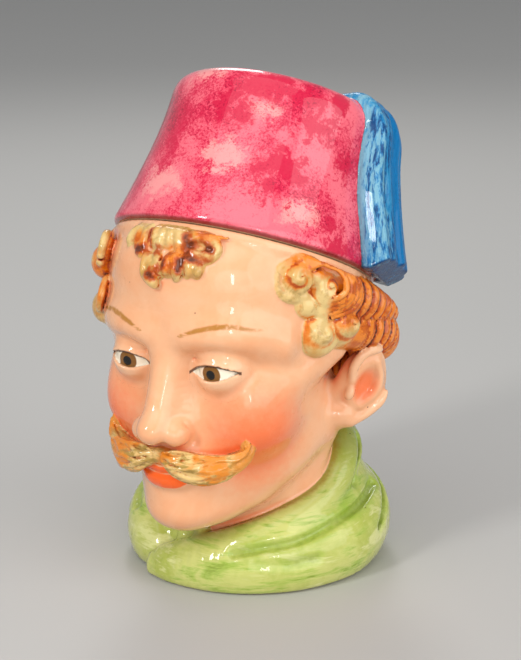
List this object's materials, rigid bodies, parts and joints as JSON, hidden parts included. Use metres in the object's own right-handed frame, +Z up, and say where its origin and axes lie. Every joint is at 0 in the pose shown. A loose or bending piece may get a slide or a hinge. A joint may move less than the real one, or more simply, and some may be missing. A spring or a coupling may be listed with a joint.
{
  "type": "figural humidor",
  "caption": "Glazed ceramic humidor in the form of a moustached man's head in a broad collar, hollow, with a fez-shaped lift-off lid and a moulded tassel.",
  "frame": {"origin": "on the flat underside, under the middle of the collar", "axes": "+Z up, -Y the way the face looks, +X the figure's left, where the tassel hangs"},
  "size_m": [0.1091, 0.1205, 0.1797],
  "materials": {
    "painted_glaze": "hand-painted under a clear glossy glaze: flesh, light green collar, straw and rust hair",
    "crimson_glaze": "glossy mottled pink and crimson glaze, with a mottled blue tassel"
  },
  "bodies": {
    "root": {"head_jar": "painted_glaze", "fez_lid": "crimson_glaze"}
  },
  "joints": []
}
